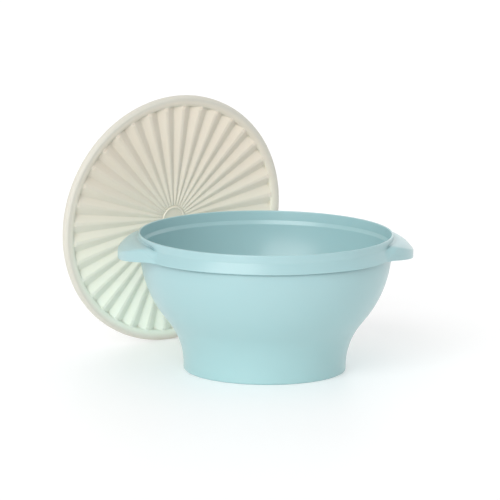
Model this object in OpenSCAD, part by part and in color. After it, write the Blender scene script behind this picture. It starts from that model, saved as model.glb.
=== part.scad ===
// Serving bowl with two side ears, and the pleated press-on lid that stands behind it.
// The bowl's axis is Z, its ears lie along X, and z = 0 is the surface that it stands on.

/* [Bowl] */
// Height from the table to the top of the rim
bowl_h = 152; // [150:1:158]
// Outer diameter of the rim wall
rim_d = 280; // [276:1:284]
// Outer diameter of the foot
foot_d = 178.6; // [174:0.2:182]
// Thickness of every bowl wall
wall_t = 2.2; // [1.8:0.1:2.6]
// Radius of the inward curve above the foot
waist_r = 78; // [73:1:82]
// Height at which the waist curve starts
waist_z = 5; // [4:0.5:6]
// Height at which the wall has turned upright
shoulder_z = 136.5; // [134:0.5:137]
// Length of the straight stretch between the two wall curves
straight_l = 9; // [6:1:12]

/* [Rim] */
// How far the rim wall stands outside the wall below it
rim_step = 1.7; // [1.4:0.1:2]
// How far the lip's lower edge stands outside the rim wall
lip_reach = 1.6; // [1:0.1:2]
// Height of the whole rim band, from lip edge to rim top
band_h = 21; // [19:0.5:22]
// Height of the upright part of the rim band
upright_h = 9; // [8:0.5:10]

/* [Ears] */
// How far each ear reaches beyond the rim wall
ear_reach = 22.5; // [20:0.5:25]
// Radius of the ear's round outline in plan
ear_round = 78.5; // [74:0.5:84]
// Depth of the ear's top below the rim, where it leaves the rim
ear_drop_in = 6; // [4:0.5:7]
// Depth of the ear's top below the rim, at its tip
ear_drop_out = 18.5; // [16:0.5:19]
// Height of the ear's downturned edge
ear_skirt_h = 8; // [7:0.5:9]
// How the ear's top falls away: 1 is straight, more than 1 keeps it high near the rim
ear_bulge = 2.6; // [1:0.1:3]

/* [Lid] */
// Space between the rim wall and each wall of the lid's channel
lid_gap = 0.5; // [0.4:0.05:0.8]
// Thickness of the lid's skin
lid_t = 1.4; // [1.2:0.1:1.6]
// Height of the lid's outer skirt
lid_skirt_h = 7; // [5:0.5:7]
// Depth of the pleats' valleys below the top of the lid's ring, where they meet the ring
valley_depth = 5; // [4:0.1:6]
// Number of pleats
pleats = 36; // [24:2:40]
// Share of each pleat's width taken by its flat-topped ridge
ridge_share = 0.16; // [0.1:0.01:0.2]
// Share of each pleat's width taken by its valley floor
valley_share = 0.04; // [0.03:0.01:0.1]
// Radius of the round bead about the centre button
bead_r = 13.4; // [12:0.2:15]

/* [Lid at rest] */
// Angle by which the lid faces away from the bowl's front
lid_turn = 27.8; // [20:0.1:40]
// Angle by which the lid leans forward
lid_lean = 5.4; // [3:0.1:7]
// Where the lid's edge meets the table, along X
lid_foot_x = -97.5; // [-105:0.5:-90]
// Where the lid's edge meets the table, along Y
lid_foot_y = 162; // [155:1:175]

/* [Hidden] */
$fn = 96;

bowl_colour = [0.69, 0.85, 0.87];
lid_colour = [0.90, 0.88, 0.82];
eps = 0.01;

// Bowl wall
rim_r = rim_d / 2;
foot_r = foot_d / 2;
wall_r = rim_r - rim_step;
foot_edge_r = 6;
foot_edge_a = 60;
foot_ring_w = 12;
base_z = 2.4;
base_t = 2.6;
inner_corner_r = 8;
inner_corner_a = 70;
arc_steps = 10;
waist_c = [foot_r + waist_r, waist_z];
// The belly's radius follows from the waist, the straight stretch and the upright wall above
waist_over = waist_c[0] - wall_r;
shoulder_up = shoulder_z - waist_z;
belly_r = (pow(waist_over, 2) + pow(shoulder_up, 2) - pow(waist_r, 2) - pow(straight_l, 2))
    / (2 * (waist_r - waist_over));
belly_c = [wall_r - belly_r, shoulder_z];
centre_dir = atan2(waist_c[1] - belly_c[1], waist_c[0] - belly_c[0]);
centre_gap = norm(waist_c - belly_c);
join_dir = centre_dir + acos((waist_r + belly_r) / centre_gap);

// Rim band
lip_z = bowl_h - band_h;
lip_r = rim_r + lip_reach;
lip_t = 1.8;
lip_edge = 0.5;
lip_groove_h = 4;
step_low_z = bowl_h - upright_h - 6;
step_high_z = bowl_h - upright_h - 2;
rim_round_r = wall_t / 2;

// Ears
ear_c = rim_r + ear_reach - ear_round;
ear_root = rim_r - rim_step;
ear_bottom_out = bowl_h - ear_drop_out - ear_skirt_h;
// How far out the hollow under each ear starts
recess_from_x = 0.8 * rim_r;
// Where the points of the ear's top lie, as shares of its reach; the last lies outside its outline
ear_top_shares = [0, 0.35, 0.6, 0.8, 1, 1.08];

// Lid, in its own frame: its top faces +Z and the top of its ring is at z = 0
skirt_in_r = rim_r + lid_gap;
lid_r = skirt_in_r + lid_t;
web_t = 2;
skirt_round = 2.2;
lid_edge = 0.5;
fin_out_r = rim_r - wall_t - lid_gap;
fin_h = 5;
fin_t = 1.4;
fin_edge = 0.5;
// The ring's inner wall, from its crown down to just below the valleys
wall_in_r = rim_r - 10.2;
wall_back_r = wall_in_r + lid_t;
wall_bottom_z = -valley_depth - 2.2;
ring_crown_w = 4.2;
ring_bend = [1.1, -0.4];
ring_bend_end_z = -1.6;
wall_root = 0.6;
panel_t = 1.6;
panel_end_r = wall_back_r - 0.1;
ridge_z = -0.75;
hub_r = 15;
hub_ridge_z = -1;
hub_valley_z = -1.6;
// Where each pleat's ridge and valley lie, as shares of its width
ridge_at = 0.22;
valley_at = 0.71;
button_z = -1.7;
button_t = 1.6;
bead_round = 1.2;
pitch_a = 360 / pleats;

// Points on an arc about c, from angle a0 to angle a1
function arc(c, r, a0, a1, steps) =
    [for (i = [0:steps]) let (a = a0 + (a1 - a0) * i / steps) c + r * [cos(a), sin(a)]];

// The wall's curve from the foot up to the shoulder, moved inward by t
function wall_curve(t) = concat(
    arc(waist_c, waist_r + t, 180, 180 + join_dir, arc_steps),
    arc(belly_c, belly_r - t, join_dir, 0, arc_steps)
);

module bowl_outside() {
    rotate_extrude($fn = 180)
        polygon(concat(
            [[0, 0], [foot_r - foot_edge_r, 0]],
            arc([foot_r - foot_edge_r, foot_edge_r], foot_edge_r, -foot_edge_a, 0, 3),
            wall_curve(0),
            [[wall_r, step_high_z], [0, step_high_z]]
        ));
}

module bowl_hollow() {
    floor_z = base_z + base_t;
    corner_c = [foot_r - wall_t - inner_corner_r, floor_z + inner_corner_r];
    above_corner = [for (p = wall_curve(wall_t)) if (p[1] > floor_z + inner_corner_r) p];
    rotate_extrude($fn = 180)
        polygon(concat(
            [[0, floor_z], [corner_c[0], floor_z]],
            arc(corner_c, inner_corner_r, -inner_corner_a, 0, 4),
            above_corner,
            [
                [wall_r - wall_t, step_low_z],
                [rim_r - wall_t, step_high_z],
                [rim_r - wall_t, bowl_h + 1],
                [0, bowl_h + 1]
            ]
        ));
}

// Rim wall with a rounded top, and the lip that flares out below it
module rim_band() {
    top_c = [rim_r - rim_round_r, bowl_h - rim_round_r];
    rotate_extrude($fn = 180)
        polygon(concat(
            [
                [wall_r - wall_t / 2, step_low_z - 5],
                [wall_r - eps, lip_z + lip_groove_h],
                [lip_r - lip_t, lip_z],
                [lip_r - lip_edge, lip_z],
                [lip_r, lip_z + lip_edge],
                [rim_r, bowl_h - upright_h]
            ],
            arc(top_c, rim_round_r, 0, 180, 6),
            [[rim_r - wall_t, step_high_z], [wall_r - wall_t / 2, step_low_z]]
        ));
}

// Points along an ear's top from the rim outward, lowered by t
function ear_top(t) = [
    for (share = ear_top_shares)
        [
            rim_r + share * ear_reach,
            bowl_h - ear_drop_in - (ear_drop_out - ear_drop_in) * pow(share, ear_bulge) - t
        ]
];

// Round plan outline of one ear, moved inward by t
module ear_outline(t, side) {
    translate([side * ear_c, 0, 0])
        cylinder(h = 2 * bowl_h, r = ear_round - t);
}

module ear_block() {
    top = ear_top(0);
    out_r = top[len(top) - 1][0];
    rotate_extrude($fn = 180)
        polygon(concat(
            [[rim_r, lip_z], [ear_root, lip_z], [ear_root, top[0][1]]],
            top,
            [[out_r, ear_bottom_out]]
        ));
}

module ear_recess_block() {
    top = ear_top(wall_t);
    out_r = top[len(top) - 1][0];
    low_z = lip_z - 2 * ear_skirt_h;
    rotate_extrude($fn = 180)
        polygon(concat([[wall_r, low_z], [wall_r, top[0][1]]], top, [[out_r, low_z]]));
}

module ears() {
    for (side = [-1, 1])
        intersection() {
            ear_block();
            ear_outline(0, side);
        }
}

module ear_recesses() {
    for (side = [-1, 1])
        intersection() {
            ear_recess_block();
            ear_outline(wall_t, side);
            translate([side * (recess_from_x + bowl_h), 0, bowl_h])
                cube(2 * bowl_h, center = true);
        }
}

// Shallow hollow under the base, so that only the foot ring touches the table
module base_recess() {
    recess_r = foot_r - foot_ring_w;
    rotate_extrude($fn = 180)
        polygon([[0, -1], [recess_r + 1, -1], [recess_r, base_z - 1], [recess_r - 1, base_z], [0, base_z]]);
}

module bowl() {
    color(bowl_colour)
        difference() {
            union() {
                bowl_outside();
                rim_band();
                ears();
            }
            bowl_hollow();
            ear_recesses();
            base_recess();
        }
}

// Ring with the channel that takes the bowl's rim, and the wall inside it that the pleats run into
module lid_ring() {
    rotate_extrude($fn = 180)
        polygon(concat(
            [
                [wall_in_r, wall_bottom_z],
                [wall_back_r, wall_bottom_z],
                [wall_back_r, -web_t - wall_root],
                [wall_back_r + wall_root, -web_t],
                [skirt_in_r, -web_t],
                [skirt_in_r, -lid_skirt_h],
                [lid_r - lid_edge, -lid_skirt_h],
                [lid_r, -lid_skirt_h + lid_edge]
            ],
            arc([lid_r - skirt_round, -skirt_round], skirt_round, 0, 90, 5),
            [
                [wall_in_r + ring_crown_w, 0],
                [wall_in_r + ring_bend[0], ring_bend[1]],
                [wall_in_r, ring_bend_end_z]
            ]
        ));
}

// Thin wall that presses on the inside of the bowl's rim
module seal_fin() {
    rotate_extrude($fn = 180)
        polygon([
            [fin_out_r - fin_t, -web_t + eps],
            [fin_out_r, -web_t + eps],
            [fin_out_r, -web_t - fin_h + fin_edge],
            [fin_out_r - fin_edge, -web_t - fin_h],
            [fin_out_r - fin_t, -web_t - fin_h]
        ]);
}

module centre_button() {
    translate([0, 0, button_z - button_t])
        cylinder(h = button_t, r = hub_r + 1);
    translate([0, 0, button_z])
        rotate_extrude()
            translate([bead_r, 0])
                circle(r = bead_round, $fn = 24);
}

// Pleated skin between the button and the ring, folded to and fro, as one closed shell
module pleated_panel() {
    ring_r = [hub_r, panel_end_r];
    top_z = [[hub_valley_z, hub_ridge_z], [-valley_depth, ridge_z]];
    corner_a = -pitch_a * [
        valley_at + valley_share / 2,
        valley_at - valley_share / 2,
        ridge_at + ridge_share / 2,
        ridge_at - ridge_share / 2
    ];
    corner_up = [0, 0, 1, 1];
    around = 4 * pleats;
    function corner(layer, ring, j) =
        let (a = corner_a[j % 4] + pitch_a * floor(j / 4))
        [
            ring_r[ring] * cos(a),
            ring_r[ring] * sin(a),
            top_z[ring][corner_up[j % 4]] - layer * panel_t
        ];
    points = [for (layer = [0, 1], ring = [0, 1], j = [0:around - 1]) corner(layer, ring, j)];
    function at(layer, ring, j) = (2 * layer + ring) * around + j % around;
    faces = [
        for (j = [0:around - 1])
            each [
                [at(0, 0, j), at(0, 0, j + 1), at(0, 1, j + 1)],
                [at(0, 0, j), at(0, 1, j + 1), at(0, 1, j)],
                [at(1, 0, j), at(1, 1, j + 1), at(1, 0, j + 1)],
                [at(1, 0, j), at(1, 1, j), at(1, 1, j + 1)],
                [at(0, 0, j), at(1, 0, j + 1), at(0, 0, j + 1)],
                [at(0, 0, j), at(1, 0, j), at(1, 0, j + 1)],
                [at(0, 1, j), at(0, 1, j + 1), at(1, 1, j + 1)],
                [at(0, 1, j), at(1, 1, j + 1), at(1, 1, j)]
            ]
    ];
    polyhedron(points = points, faces = faces);
}

// Stands the lid on its edge behind the bowl, with its top facing forward
module place_lid() {
    lid_z = (lid_r - skirt_round) * cos(lid_lean) - skirt_round * sin(lid_lean) + skirt_round;
    lid_forward = lid_r * sin(lid_lean) + skirt_round * cos(lid_lean);
    forward = [sin(lid_turn), -cos(lid_turn), 0];
    translate([lid_foot_x, lid_foot_y, 0] + lid_forward * forward + [0, 0, lid_z])
        rotate([0, 0, lid_turn])
            rotate([90 + lid_lean, 0, 0])
                children();
}

module lid() {
    color(lid_colour)
        place_lid()
            union() {
                lid_ring();
                seal_fin();
                centre_button();
                pleated_panel();
            }
}

bowl();
lid();
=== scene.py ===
"""Looks of a serving bowl with two ears and its pleated press-on lid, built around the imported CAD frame.

The CAD nodes give every place and the overall size. Both mouldings are swept here again as fine meshes
with the rounded edges, the blended ears and the soft-edged pleats that the plain CAD solids leave out.
"""

import math

import bpy
import numpy as np
from mathutils import Matrix, Vector


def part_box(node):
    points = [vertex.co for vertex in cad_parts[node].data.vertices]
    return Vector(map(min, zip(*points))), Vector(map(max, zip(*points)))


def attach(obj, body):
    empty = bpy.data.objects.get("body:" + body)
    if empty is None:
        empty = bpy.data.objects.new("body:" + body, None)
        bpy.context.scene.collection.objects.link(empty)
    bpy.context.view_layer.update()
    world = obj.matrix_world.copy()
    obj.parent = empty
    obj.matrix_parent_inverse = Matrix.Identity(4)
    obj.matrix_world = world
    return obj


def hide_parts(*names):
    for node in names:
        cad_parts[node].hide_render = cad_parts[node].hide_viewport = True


MM = 0.001

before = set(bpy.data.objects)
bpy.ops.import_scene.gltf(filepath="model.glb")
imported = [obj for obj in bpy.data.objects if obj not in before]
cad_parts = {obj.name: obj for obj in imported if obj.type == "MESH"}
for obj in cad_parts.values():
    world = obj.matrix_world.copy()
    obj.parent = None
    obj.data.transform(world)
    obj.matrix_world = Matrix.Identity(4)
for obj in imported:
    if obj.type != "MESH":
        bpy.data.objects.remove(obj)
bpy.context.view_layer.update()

# Places from the frame
bowl_low, bowl_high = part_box("bowl")
BOWL_H = bowl_high.z
EAR_TIP = bowl_high.x
LIP_R = -bowl_low.y

# Bowl moulding
LIP_REACH = 1.6 * MM
RIM_R = LIP_R - LIP_REACH
WALL_R = RIM_R - 1.7 * MM
WALL_T = 2.2 * MM
FOOT_R = 0.638 * RIM_R
FOOT_RING_W = 12 * MM
BASE_Z = 2.4 * MM
BASE_T = 2.6 * MM
WAIST_R = 78 * MM
WAIST_Z = 5 * MM
SHOULDER_Z = 136.5 * MM
STRAIGHT_L = 9 * MM
BAND_H = 21 * MM
UPRIGHT_H = 9 * MM
EAR_ROUND = 78.5 * MM
EAR_DROP_IN = 6 * MM
EAR_DROP_OUT = 18.5 * MM
EAR_BULGE = 2.6
EAR_HANG = 5.5 * MM
# Softness of the corner in plan where an ear leaves the lip
EAR_BLEND = 4.5 * MM
# Reach beyond the lip at which the section starts to turn into an ear, and at which it is one
EAR_STARTS = 0.5 * MM
EAR_FULL = 11 * MM
# How far the lip flares out before an ear, and the share of the way to the side where it does
LIP_FLARE = 3 * MM
FLARE_SHARES = (0.3, 0.8)
# Skin of the lip, height of its outer edge, and how far its hollow reaches up outside and inside
LIP_SKIN = 1.8 * MM
LIP_EDGE_H = 1.1 * MM
HOLLOW_OUT_H = 1.6 * MM
HOLLOW_IN_H = 4 * MM
# Rounding of the outer edge, on the plain lip and on an ear
LIP_ROUND = 0.5 * MM
EAR_EDGE_ROUND = 2.6 * MM
FOOT_EDGE_ROUND = 6 * MM
FLOOR_CORNER = 8 * MM
BOWL_STEPS = 480

# Lid moulding, in its own frame: top faces +Z, top of its ring at z = 0
PLEATS = 36
LID_SKIN = 1.4 * MM
PANEL_T = 1.8 * MM
WEB_T = 2 * MM
SKIRT_H = 6.9 * MM
WALL_IN_R = RIM_R - 10.2 * MM
WALL_RIDGE_Z = -0.6 * MM
WALL_VALLEY_Z = -5 * MM
HUB_RIDGE_Z = -1.0 * MM
HUB_VALLEY_Z = -1.6 * MM
RIDGE_AT = 0.22
VALLEY_AT = 0.71
RIDGE_FLAT = 0.16
VALLEY_FLAT = 0.04
RIDGE_SOFT = 0.03
VALLEY_SOFT = 0.05
BUTTON_Z = -1.7 * MM
FIN_H = 5 * MM
FIN_GAP = 0.5 * MM
HUB_R = 15 * MM
BEAD_R = 13.4 * MM

# Painted shade in creases: how open a place is, from 0 to 1, where the painted shade is full and where
# there is none
CREASE_SHADE_FULL = 0.45
CREASE_SHADE_NONE = 0.85

# Height at which the painted light and shade near the table has given way to the plain tone
PAINTED_TABLE_LIGHT_TOP = 1.5 * BOWL_H

# Surface patterns, as noise scales per metre: tone, handling marks, moulding grain, slow ripple
DRIFT_SCALE = 9
RUB_SCALE = 55
GRAIN_SCALE = 1400
RIPPLE_SCALE = 28

# Studio: strengths of the surround in front, behind and overhead, how far its bright back is turned
# towards +X, and the key light's strength, spread and direction; angles in degrees
FRONT_LIGHT = 0.44
BACK_LIGHT = 1.25
BACK_TURN = 25
OVERHEAD_LIGHT = 0.75
KEY_POWER = 1.95
KEY_SPREAD = 50
KEY_TURN = 29
KEY_RISE = 24
FLOOR_HALF = 12.0
FLOOR_WHITE = 0.82
FLOOR_ROUGHNESS = 0.5
FLOOR_GLOW = 0.21

# Camera: direction in degrees, distance in metres, and the point that it looks at
CAMERA_TURN = 5.0
CAMERA_RISE = 10.5
CAMERA_ROLL = 0.5
CAMERA_DISTANCE = 5.0
CAMERA_LENS = 328.2
AIM_SIDE = -17.3 * MM
AIM_HEIGHT = 0.8704 * BOWL_H


# ---------------------------------------------------------------- outline helpers


def arc(centre, radius, start, end, steps):
    """Points on an arc, angles in degrees."""
    angles = np.radians(np.linspace(start, end, steps + 1))
    return [(centre[0] + radius * math.cos(a), centre[1] + radius * math.sin(a)) for a in angles]


def rounded(corners, steps=4):
    """A run of (r, z, rounding) corners as points, each corner turned into an arc of that radius."""
    out = []
    last = len(corners) - 1
    for i, (r, z, radius) in enumerate(corners):
        here = np.array((r, z))
        if i in (0, last) or radius == 0:
            out.append(tuple(here))
            continue
        back = np.array(corners[i - 1][:2]) - here
        ahead = np.array(corners[i + 1][:2]) - here
        back_l, ahead_l = np.linalg.norm(back), np.linalg.norm(ahead)
        back, ahead = back / back_l, ahead / ahead_l
        half = math.acos(max(-1.0, min(1.0, float(back @ ahead)))) / 2
        reach = min(radius / max(math.tan(half), 1e-6), 0.48 * back_l, 0.48 * ahead_l)
        start, end = here + back * reach, here + ahead * reach
        for k in range(steps + 1):
            t = k / steps
            out.append(tuple((1 - t) ** 2 * start + 2 * t * (1 - t) * here + t * t * end))
    return out


def divided(points, counts):
    """The same run with each stretch i cut into counts[i] parts."""
    out = [points[0]]
    for (a, b), n in zip(zip(points, points[1:]), counts):
        a, b = np.array(a), np.array(b)
        out += [tuple(a + (b - a) * k / n) for k in range(1, n + 1)]
    return out


def smoothstep(x, low, high):
    t = min(1.0, max(0.0, (x - low) / (high - low)))
    return t * t * (3 - 2 * t)


def mix(a, b, t):
    return a + (b - a) * t


def sheet_mesh(name, rings):
    """A closed surface from rings of points around the axis; the first and last rings are poles."""
    rings = [np.asarray(ring, float) for ring in rings]
    around = len(rings[1])
    points = [rings[0][0]] + [p for ring in rings[1:-1] for p in ring] + [rings[-1][0]]
    faces = []

    def at(ring, j):
        return 1 + (ring - 1) * around + j % around

    for j in range(around):
        faces.append((0, at(1, j), at(1, j + 1)))
    for ring in range(1, len(rings) - 2):
        for j in range(around):
            faces.append((at(ring, j), at(ring + 1, j), at(ring + 1, j + 1), at(ring, j + 1)))
    pole = len(points) - 1
    top = len(rings) - 2
    for j in range(around):
        faces.append((at(top, j), pole, at(top, j + 1)))
    mesh = bpy.data.meshes.new(name)
    mesh.from_pydata([tuple(p) for p in points], [], faces)
    mesh.update()
    mesh.polygons.foreach_set("use_smooth", [True] * len(mesh.polygons))
    piece = bpy.data.objects.new(name, mesh)
    bpy.context.scene.collection.objects.link(piece)
    return piece


# ---------------------------------------------------------------- bowl


def wall_curve(inward, steps=22):
    """The wall's curve from foot to shoulder, moved inward by the given amount, as (r, z) points."""
    waist_c = np.array((FOOT_R + WAIST_R, WAIST_Z))
    over = waist_c[0] - WALL_R
    up = SHOULDER_Z - WAIST_Z
    belly_r = (over**2 + up**2 - WAIST_R**2 - STRAIGHT_L**2) / (2 * (WAIST_R - over))
    belly_c = np.array((WALL_R - belly_r, SHOULDER_Z))
    gap = waist_c - belly_c
    join = math.degrees(
        math.atan2(gap[1], gap[0]) + math.acos((WAIST_R + belly_r) / np.linalg.norm(gap))
    )
    return arc(waist_c, WAIST_R + inward, 180, 180 + join, steps) + arc(
        belly_c, belly_r - inward, join, 0, steps
    )


def ear_outline(angle):
    """Radius of the lip and ears together in plan, and how far the place is on an ear, from 0 to 1."""
    c = EAR_TIP - EAR_ROUND
    side = abs(math.cos(angle))
    across = EAR_ROUND**2 - (c * math.sin(angle)) ** 2
    ear_r = c * side + math.sqrt(across) if across > 0 else 0
    joined = LIP_R + EAR_BLEND * math.log1p(math.exp(min(60, (ear_r - LIP_R) / EAR_BLEND)))
    joined = min(joined, EAR_TIP)
    on_ear = smoothstep(joined - LIP_R, EAR_STARTS, EAR_FULL)
    flare = LIP_FLARE * smoothstep(side, *FLARE_SHARES) * (1 - on_ear)
    return max(joined, LIP_R + flare), on_ear


def ear_top(r):
    """Height of an ear's top at radius r: nearly level by the rim, then falling away to the tip."""
    share = max(0.0, (r - RIM_R) / (EAR_TIP - RIM_R))
    return BOWL_H - mix(EAR_DROP_IN, EAR_DROP_OUT, share**EAR_BULGE)


def bowl_section(angle):
    """The bowl's closed section at one angle, from the base's middle below to the floor's middle inside."""
    out_r, on_ear = ear_outline(angle)
    lip_z = BOWL_H - BAND_H
    past = (out_r - LIP_R) / (EAR_TIP - LIP_R)
    bottom_z = lip_z - EAR_HANG * on_ear * past**2
    top_z = mix(lip_z + LIP_EDGE_H, ear_top(out_r), on_ear)
    shelf_z = mix(BOWL_H - UPRIGHT_H, BOWL_H - EAR_DROP_IN, on_ear)
    slope = []
    for share in (0.75, 0.5, 0.25):
        r = mix(RIM_R, out_r, share)
        slope.append((r, mix(mix(shelf_z, top_z, share), ear_top(r), on_ear), 0))
    skirt_t = mix(LIP_SKIN, WALL_T, on_ear)
    under_out_z = mix(lip_z + HOLLOW_OUT_H, top_z - WALL_T, on_ear)
    under_in_z = mix(lip_z + HOLLOW_IN_H, shelf_z - WALL_T, on_ear)
    edge = mix(LIP_ROUND, EAR_EDGE_ROUND, on_ear)
    recess_r = FOOT_R - FOOT_RING_W
    base = divided([(0, BASE_Z), (recess_r - 2 * MM, BASE_Z)], [10])
    foot = rounded(
        [
            (recess_r - 2 * MM, BASE_Z, 0),
            (recess_r, BASE_Z, 1 * MM),
            (recess_r + 0.8 * MM, 0, 0.6 * MM),
            (FOOT_R, 0, FOOT_EDGE_ROUND),
            (FOOT_R, WAIST_Z, 0),
        ]
    )
    wall = wall_curve(0)
    wall = [p for p in wall if p[1] < lip_z + 1 * MM]
    lip = rounded(
        [
            (WALL_R, lip_z + 1.2 * MM, 0),
            (WALL_R, under_in_z, 1.2 * MM),
            (out_r - skirt_t, under_out_z, 1 * MM),
            (out_r - skirt_t, bottom_z, 0.5 * MM),
            (out_r, bottom_z, 0.4 * MM),
            (out_r, top_z, edge),
            *slope,
            (RIM_R, shelf_z, mix(6, 3, on_ear) * MM),
            (RIM_R, BOWL_H, 1.05 * MM),
            (RIM_R - WALL_T, BOWL_H, 1.05 * MM),
            (RIM_R - WALL_T, BOWL_H - UPRIGHT_H - 2 * MM, 3 * MM),
            (WALL_R - WALL_T, BOWL_H - UPRIGHT_H - 6 * MM, 3 * MM),
            (WALL_R - WALL_T, SHOULDER_Z - 1 * MM, 0),
        ],
        steps=5,
    )
    inside = [p for p in reversed(wall_curve(WALL_T)) if p[1] < SHOULDER_Z - 2 * MM]
    floor_z = BASE_Z + BASE_T
    corner_c = (FOOT_R - WALL_T - FLOOR_CORNER, floor_z + FLOOR_CORNER)
    inside = [p for p in inside if p[1] > corner_c[1]]
    bend = arc(corner_c, FLOOR_CORNER, 0, -90, 8)
    floor = divided([bend[-1], (0, floor_z)], [10])[1:]
    return base[:-1] + foot + wall[1:] + lip + inside + bend + floor


def make_bowl():
    angles = [2 * math.pi * k / BOWL_STEPS for k in range(BOWL_STEPS)]
    sections = [bowl_section(a) for a in angles]
    rings = []
    for i in range(len(sections[0])):
        rings.append(
            [(s[i][0] * math.cos(a), s[i][0] * math.sin(a), s[i][1]) for s, a in zip(sections, angles)]
        )
    return sheet_mesh("bowl_moulding", rings)


# ---------------------------------------------------------------- lid


def lid_axes():
    """The lid's own frame from its CAD mesh: origin on the axis at the ring's top, and three directions."""
    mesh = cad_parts["lid"].data
    co = np.array([v.co for v in mesh.vertices], float)
    tensor = np.zeros((3, 3))
    for face in mesh.polygons:
        n = np.array(face.normal, float)
        tensor += face.area * np.outer(n, n)
    axis = np.linalg.eigh(tensor)[1][:, -1]
    if axis[1] > 0:
        axis = -axis
    level = np.cross((0, 0, 1), axis)
    level /= np.linalg.norm(level)
    up = np.cross(axis, level)

    def middle(direction):
        span = co @ direction
        return (span.min() + span.max()) / 2

    origin = middle(level) * level + middle(up) * up + (co @ axis).max() * axis
    return origin, level, up, axis


def fold_height(turn):
    """Height share of the folded skin at a share of the pleat, 0 in the valley and 1 on the ridge."""
    folds = (
        (RIDGE_AT - RIDGE_FLAT / 2, 1, RIDGE_SOFT),
        (RIDGE_AT + RIDGE_FLAT / 2, 1, RIDGE_SOFT),
        (VALLEY_AT - VALLEY_FLAT / 2, 0, VALLEY_SOFT),
        (VALLEY_AT + VALLEY_FLAT / 2, 0, VALLEY_SOFT),
    )
    run = [(at + lap, up, soft) for lap in (-1, 0, 1) for at, up, soft in folds]
    for (a, za, _), (b, zb, soft), (c, zc, _) in zip(run, run[1:], run[2:]):
        before, after = (zb - za) / (b - a), (zc - zb) / (c - b)
        if abs(turn - b) <= soft:
            return zb + before * (turn - b) + (after - before) * (turn - b + soft) ** 2 / (4 * soft)
    return float(np.interp(turn, [at for at, _, _ in run], [up for _, up, _ in run]))


def pleat_angles():
    """Angles about the lid as (turn share, angle), closer together along the pleats' folds."""
    marks = []
    for at, flat, soft in ((RIDGE_AT, RIDGE_FLAT, RIDGE_SOFT), (VALLEY_AT, VALLEY_FLAT, VALLEY_SOFT)):
        for side in (-1, 1):
            marks += [at + side * flat / 2 + soft * k / 3 for k in (-3, -2, -1, 0, 1, 2, 3)]
    marks += [(RIDGE_AT + VALLEY_AT) / 2, (RIDGE_AT + VALLEY_AT + 1) / 2]
    marks = sorted({round(m % 1, 4) for m in marks})
    return [(m, -2 * math.pi * (k + m) / PLEATS) for k in range(PLEATS) for m in marks]


def lid_section(share):
    """The lid's closed section where the folded skin has the given height share."""
    hub_z = mix(HUB_VALLEY_Z, HUB_RIDGE_Z, share)
    end_z = mix(WALL_VALLEY_Z, WALL_RIDGE_Z, share)
    button = rounded(
        [
            (0, BUTTON_Z + 0.1 * MM, 0),
            (BEAD_R - 3 * MM, BUTTON_Z, 3 * MM),
            (BEAD_R - 1.2 * MM, BUTTON_Z, 0.5 * MM),
            (BEAD_R - 0.9 * MM, BUTTON_Z + 1.25 * MM, 0.8 * MM),
            (BEAD_R + 0.9 * MM, BUTTON_Z + 1.25 * MM, 0.8 * MM),
            (BEAD_R + 1.3 * MM, BUTTON_Z, 0.4 * MM),
            (HUB_R + 0.2 * MM, BUTTON_Z, 0),
        ]
    )
    lid_r = RIM_R + FIN_GAP + LID_SKIN
    skirt_in = RIM_R + FIN_GAP
    fin_out = RIM_R - WALL_T - FIN_GAP
    wall_back = WALL_IN_R + LID_SKIN
    panel = divided([(HUB_R + 1.4 * MM, hub_z), (WALL_IN_R - 3 * MM, end_z)], [12])
    ring = rounded(
        [
            (WALL_IN_R - 3 * MM, end_z, 0),
            (WALL_IN_R, end_z, 1.6 * MM),
            (WALL_IN_R + 0.3 * MM, max(end_z, -2.2 * MM), 1 * MM),
            (WALL_IN_R + 1.6 * MM, max(end_z, -0.7 * MM), 2 * MM),
            (WALL_IN_R + 4.2 * MM, 0, 4 * MM),
            (lid_r - 3 * MM, 0, 3 * MM),
            (lid_r, -2.2 * MM, 2 * MM),
            (lid_r, -SKIRT_H, 0.5 * MM),
            (skirt_in, -SKIRT_H, 0.5 * MM),
            (skirt_in, -WEB_T, 0.8 * MM),
            (fin_out, -WEB_T, 0.4 * MM),
            (fin_out, -WEB_T - FIN_H, 0.5 * MM),
            (fin_out - 1.3 * MM, -WEB_T - FIN_H, 0.5 * MM),
            (fin_out - 1.4 * MM, -WEB_T, 0.4 * MM),
            (wall_back + 0.4 * MM, -WEB_T - 0.3 * MM, 0.6 * MM),
            (wall_back, min(end_z - PANEL_T, -WEB_T - 0.6 * MM), 0.8 * MM),
            (WALL_IN_R - 3 * MM, end_z - PANEL_T, 0),
        ],
        steps=5,
    )
    back = divided([(WALL_IN_R - 3 * MM, end_z - PANEL_T), (HUB_R + 1.4 * MM, hub_z - PANEL_T)], [12])
    under_z = BUTTON_Z - PANEL_T
    under = [(HUB_R - 1 * MM, under_z), (HUB_R / 2, under_z), (0, under_z)]
    return button + panel[:-1] + ring + back[1:] + under


def lid_rings():
    """Every ring of the lid's closed surface, from the button's middle on top to its middle below."""
    stations = pleat_angles()
    sections = [lid_section(fold_height(share)) for share, _ in stations]
    rings = []
    for i in range(len(sections[0])):
        rings.append(
            [
                (section[i][0] * math.cos(a), section[i][0] * math.sin(a), section[i][1])
                for section, (_, a) in zip(sections, stations)
            ]
        )
    return rings


def make_lid():
    origin, level, up, axis = lid_axes()
    place = np.array((level, up, axis))
    rings = [np.asarray(ring) @ place + origin for ring in lid_rings()]
    piece = sheet_mesh("lid_moulding", list(reversed(rings)))
    # Share of the painted shade on the ring, rising across the ring to full at the rim's radius
    share = piece.data.attributes.new("ring_shade_share", "FLOAT", "POINT")
    for vertex, mark in zip(piece.data.vertices, share.data):
        out = np.array(vertex.co) - origin
        radius = np.linalg.norm(out - (out @ axis) * axis)
        mark.value = smoothstep(radius, WALL_IN_R + 2 * MM, RIM_R)
    return piece


# ---------------------------------------------------------------- materials


def add(tree, kind, **settings):
    node = tree.nodes.new(kind)
    for key, value in settings.items():
        setattr(node, key, value)
    return node


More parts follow.
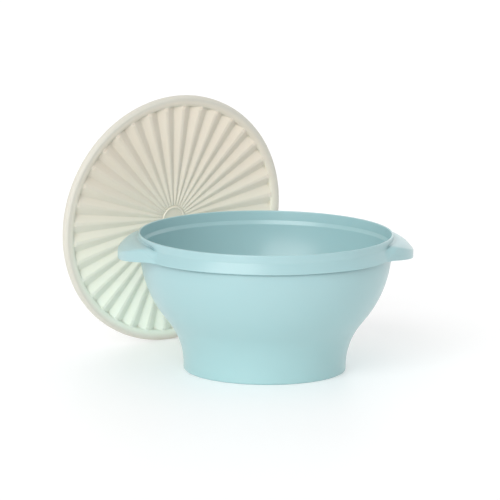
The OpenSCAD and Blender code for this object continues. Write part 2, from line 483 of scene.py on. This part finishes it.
def ramp(tree, source, low, high, start, end):
    """A value that goes from start to end while the source goes from low to high."""
    step = add(tree, "ShaderNodeMapRange", interpolation_type="SMOOTHSTEP")
    step.inputs["From Min"].default_value = low
    step.inputs["From Max"].default_value = high
    step.inputs["To Min"].default_value = start
    step.inputs["To Max"].default_value = end
    tree.links.new(source, step.inputs["Value"])
    return step.outputs["Result"]


def noise(tree, place, scale, detail=2):
    """Noise over the piece's own coordinates."""
    pattern = add(tree, "ShaderNodeTexNoise")
    pattern.inputs["Scale"].default_value = scale
    pattern.inputs["Detail"].default_value = detail
    tree.links.new(place.outputs["Object"], pattern.inputs["Vector"])
    return pattern.outputs["Fac"]


def blended(tree, share, start, end):
    """A colour that goes from start to end with the share; each is a colour triple or a socket."""
    blend = add(tree, "ShaderNodeMix", data_type="RGBA")
    for name, colour in (("A", start), ("B", end)):
        if isinstance(colour, tuple):
            blend.inputs[name].default_value = (*colour, 1)
        else:
            tree.links.new(colour, blend.inputs[name])
    tree.links.new(share, blend.inputs["Factor"])
    return blend.outputs["Result"]


def bump(tree, height, strength, distance):
    relief = add(tree, "ShaderNodeBump")
    relief.inputs["Strength"].default_value = strength
    relief.inputs["Distance"].default_value = distance
    tree.links.new(height, relief.inputs["Height"])
    return relief


def moulded_plastic(
    name, light, dark, low, crease_shade, reach, roughness, gloss, translucence, radius, ring_shade=None
):
    """Satin moulded plastic: slow colour drift, painted shade in creases, fine grain, handling marks.

    The tone goes over into the low tone towards the table, painted light and shade near the table, and on
    the lid's ring into a greyer painted shade tone where the lid mesh's ring share attribute says so.
    """
    material = bpy.data.materials.new(name)
    material.use_nodes = True
    tree = material.node_tree
    shader = tree.nodes["Principled BSDF"]
    place = add(tree, "ShaderNodeTexCoord")

    tone = blended(tree, noise(tree, place, DRIFT_SCALE, 3), dark, light)
    part = add(tree, "ShaderNodeSeparateXYZ")
    tree.links.new(place.outputs["Object"], part.inputs["Vector"])
    # Painted light and shade near the table: the tone turns into the low tone towards the bottom
    tone = blended(tree, ramp(tree, part.outputs["Z"], 0, PAINTED_TABLE_LIGHT_TOP, 1, 0), tone, low)
    # Painted shade on the lid's ring: the same plastic drawn greyer and darker there
    if ring_shade:
        share = add(tree, "ShaderNodeAttribute", attribute_name="ring_shade_share")
        tone = blended(tree, share.outputs["Fac"], tone, ring_shade)
    # Painted shade: places closed in by the piece's own surface, such as creases, the hollow under the lip
    # and the pleats' valleys, are darkened towards the shade colour
    shade_occlusion = add(tree, "ShaderNodeAmbientOcclusion", samples=8, only_local=True)
    shade_occlusion.inputs["Distance"].default_value = reach
    unshaded_share = ramp(tree, shade_occlusion.outputs["AO"], CREASE_SHADE_FULL, CREASE_SHADE_NONE, 0, 1)
    tone = blended(tree, unshaded_share, crease_shade, tone)
    tree.links.new(tone, shader.inputs["Base Color"])

    sheen = add(tree, "ShaderNodeMapRange")
    sheen.inputs["To Min"].default_value = roughness - 0.06
    sheen.inputs["To Max"].default_value = roughness + 0.07
    tree.links.new(noise(tree, place, RUB_SCALE, 6), sheen.inputs["Value"])
    tree.links.new(sheen.outputs["Result"], shader.inputs["Roughness"])

    fine = bump(tree, noise(tree, place, GRAIN_SCALE), 0.05, 0.2 * MM)
    slow = bump(tree, noise(tree, place, RIPPLE_SCALE), 0.06, 1 * MM)
    tree.links.new(fine.outputs["Normal"], slow.inputs["Normal"])
    tree.links.new(slow.outputs["Normal"], shader.inputs["Normal"])

    shader.inputs["IOR"].default_value = 1.49
    shader.inputs["Coat Weight"].default_value = gloss
    shader.inputs["Coat Roughness"].default_value = 0.22
    shader.inputs["Subsurface Weight"].default_value = translucence
    shader.inputs["Subsurface Radius"].default_value = radius
    shader.inputs["Subsurface Scale"].default_value = 2 * MM
    return material


def dress(piece, material, body, node):
    piece.data.materials.append(material)
    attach(piece, body)
    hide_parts(node)


# ---------------------------------------------------------------- stage, light and camera


def srgb(r, g, b):
    """Linear colour of an sRGB byte triple."""
    out = []
    for v in (r, g, b):
        v /= 255
        out.append(v / 12.92 if v <= 0.04045 else ((v + 0.055) / 1.055) ** 2.4)
    return tuple(out)


def make_floor():
    """White table: it glows enough to burn out to white, and keeps a soft shade near the object."""
    mesh = bpy.data.meshes.new("floor")
    corners = [(x * FLOOR_HALF, y * FLOOR_HALF, 0) for x, y in ((-1, -1), (1, -1), (1, 1), (-1, 1))]
    mesh.from_pydata(corners, [], [(0, 1, 2, 3)])
    floor = bpy.data.objects.new("floor", mesh)
    bpy.context.scene.collection.objects.link(floor)
    material = bpy.data.materials.new("floor_white")
    material.use_nodes = True
    shader = material.node_tree.nodes["Principled BSDF"]
    shader.inputs["Base Color"].default_value = (FLOOR_WHITE, FLOOR_WHITE, FLOOR_WHITE, 1)
    shader.inputs["Roughness"].default_value = FLOOR_ROUGHNESS
    shader.inputs["Emission Color"].default_value = (1, 1, 1, 1)
    shader.inputs["Emission Strength"].default_value = FLOOR_GLOW
    mesh.materials.append(material)


def look_at(obj, target):
    obj.rotation_euler = (Vector(target) - obj.location).to_track_quat("-Z", "Y").to_euler()


def make_world():
    """White surround: a bright backdrop behind the object, softer light in front and overhead."""
    world = bpy.data.worlds.new("studio")
    bpy.context.scene.world = world
    world.use_nodes = True
    tree = world.node_tree
    back = tree.nodes["Background"]
    place = add(tree, "ShaderNodeTexCoord")
    part = add(tree, "ShaderNodeSeparateXYZ")
    tree.links.new(place.outputs["Generated"], part.inputs["Vector"])
    turn = math.radians(BACK_TURN)
    backward = add(tree, "ShaderNodeVectorMath", operation="DOT_PRODUCT")
    backward.inputs[1].default_value = (math.sin(turn), math.cos(turn), 0)
    tree.links.new(place.outputs["Generated"], backward.inputs[0])
    level = ramp(tree, backward.outputs["Value"], 0.05, 0.75, FRONT_LIGHT, BACK_LIGHT)
    high = ramp(tree, part.outputs["Z"], 0.3, 0.8, 0, 1)
    blend = add(tree, "ShaderNodeMix", data_type="FLOAT")
    tree.links.new(high, blend.inputs["Factor"])
    tree.links.new(level, blend.inputs["A"])
    blend.inputs["B"].default_value = OVERHEAD_LIGHT
    tree.links.new(blend.outputs["Result"], back.inputs["Strength"])
    back.inputs["Color"].default_value = (1, 1, 1, 1)


def make_key():
    """One very soft key light from the front, a little left of the camera and above it."""
    data = bpy.data.lights.new("key", "SUN")
    data.energy = KEY_POWER
    data.angle = math.radians(KEY_SPREAD)
    key = bpy.data.objects.new("key", data)
    turn, rise = math.radians(KEY_TURN), math.radians(KEY_RISE)
    level = math.cos(rise)
    key.location = (-math.sin(turn) * level, -math.cos(turn) * level, math.sin(rise))
    bpy.context.scene.collection.objects.link(key)
    look_at(key, (0, 0, 0))


def make_camera():
    turn, rise = math.radians(CAMERA_TURN), math.radians(CAMERA_RISE)
    side = Vector((math.cos(turn), -math.sin(turn), 0))
    level = math.cos(rise)
    towards = Vector((-math.sin(turn) * level, -math.cos(turn) * level, math.sin(rise)))
    target = side * AIM_SIDE + Vector((0, 0, AIM_HEIGHT))
    data = bpy.data.cameras.new("camera")
    data.lens = CAMERA_LENS
    data.sensor_width = 36
    data.clip_end = 100
    camera = bpy.data.objects.new("camera", data)
    bpy.context.scene.collection.objects.link(camera)
    camera.location = target + towards * CAMERA_DISTANCE
    aim = (-towards).to_track_quat("-Z", "Y").to_matrix().to_4x4()
    roll = Matrix.Rotation(math.radians(CAMERA_ROLL), 4, "Z")
    camera.matrix_world = Matrix.Translation(camera.location) @ aim @ roll
    bpy.context.scene.camera = camera


make_camera()
make_world()
make_key()
make_floor()
bpy.context.scene.view_settings.view_transform = "Standard"
bowl = make_bowl()
lid = make_lid()
aqua = moulded_plastic(
    "aqua_plastic",
    light=srgb(165, 198, 202),
    dark=srgb(160, 193, 197),
    # slightly darker painted shade near the table
    low=srgb(160, 197, 199),
    # painted shade in creases and under the lip
    crease_shade=srgb(58, 116, 124),
    reach=8 * MM,
    roughness=0.32,
    gloss=0.3,
    translucence=0.12,
    radius=(0.5, 1.0, 1.1),
)
cream = moulded_plastic(
    "cream_plastic",
    light=srgb(229, 220, 205),
    dark=srgb(223, 213, 196),
    # painted mint light on the lid's lower part, bounced from the bowl and the table
    low=srgb(230, 239, 226),
    # painted shade that makes the ring greyer and darker
    ring_shade=srgb(210, 207, 196),
    # painted shade in creases and along the pleats' valleys
    crease_shade=srgb(196, 188, 168),
    reach=5 * MM,
    roughness=0.45,
    gloss=0,
    translucence=0.15,
    radius=(1.0, 0.9, 0.7),
)
dress(bowl, aqua, "bowl", "bowl")
dress(lid, cream, "lid", "lid")
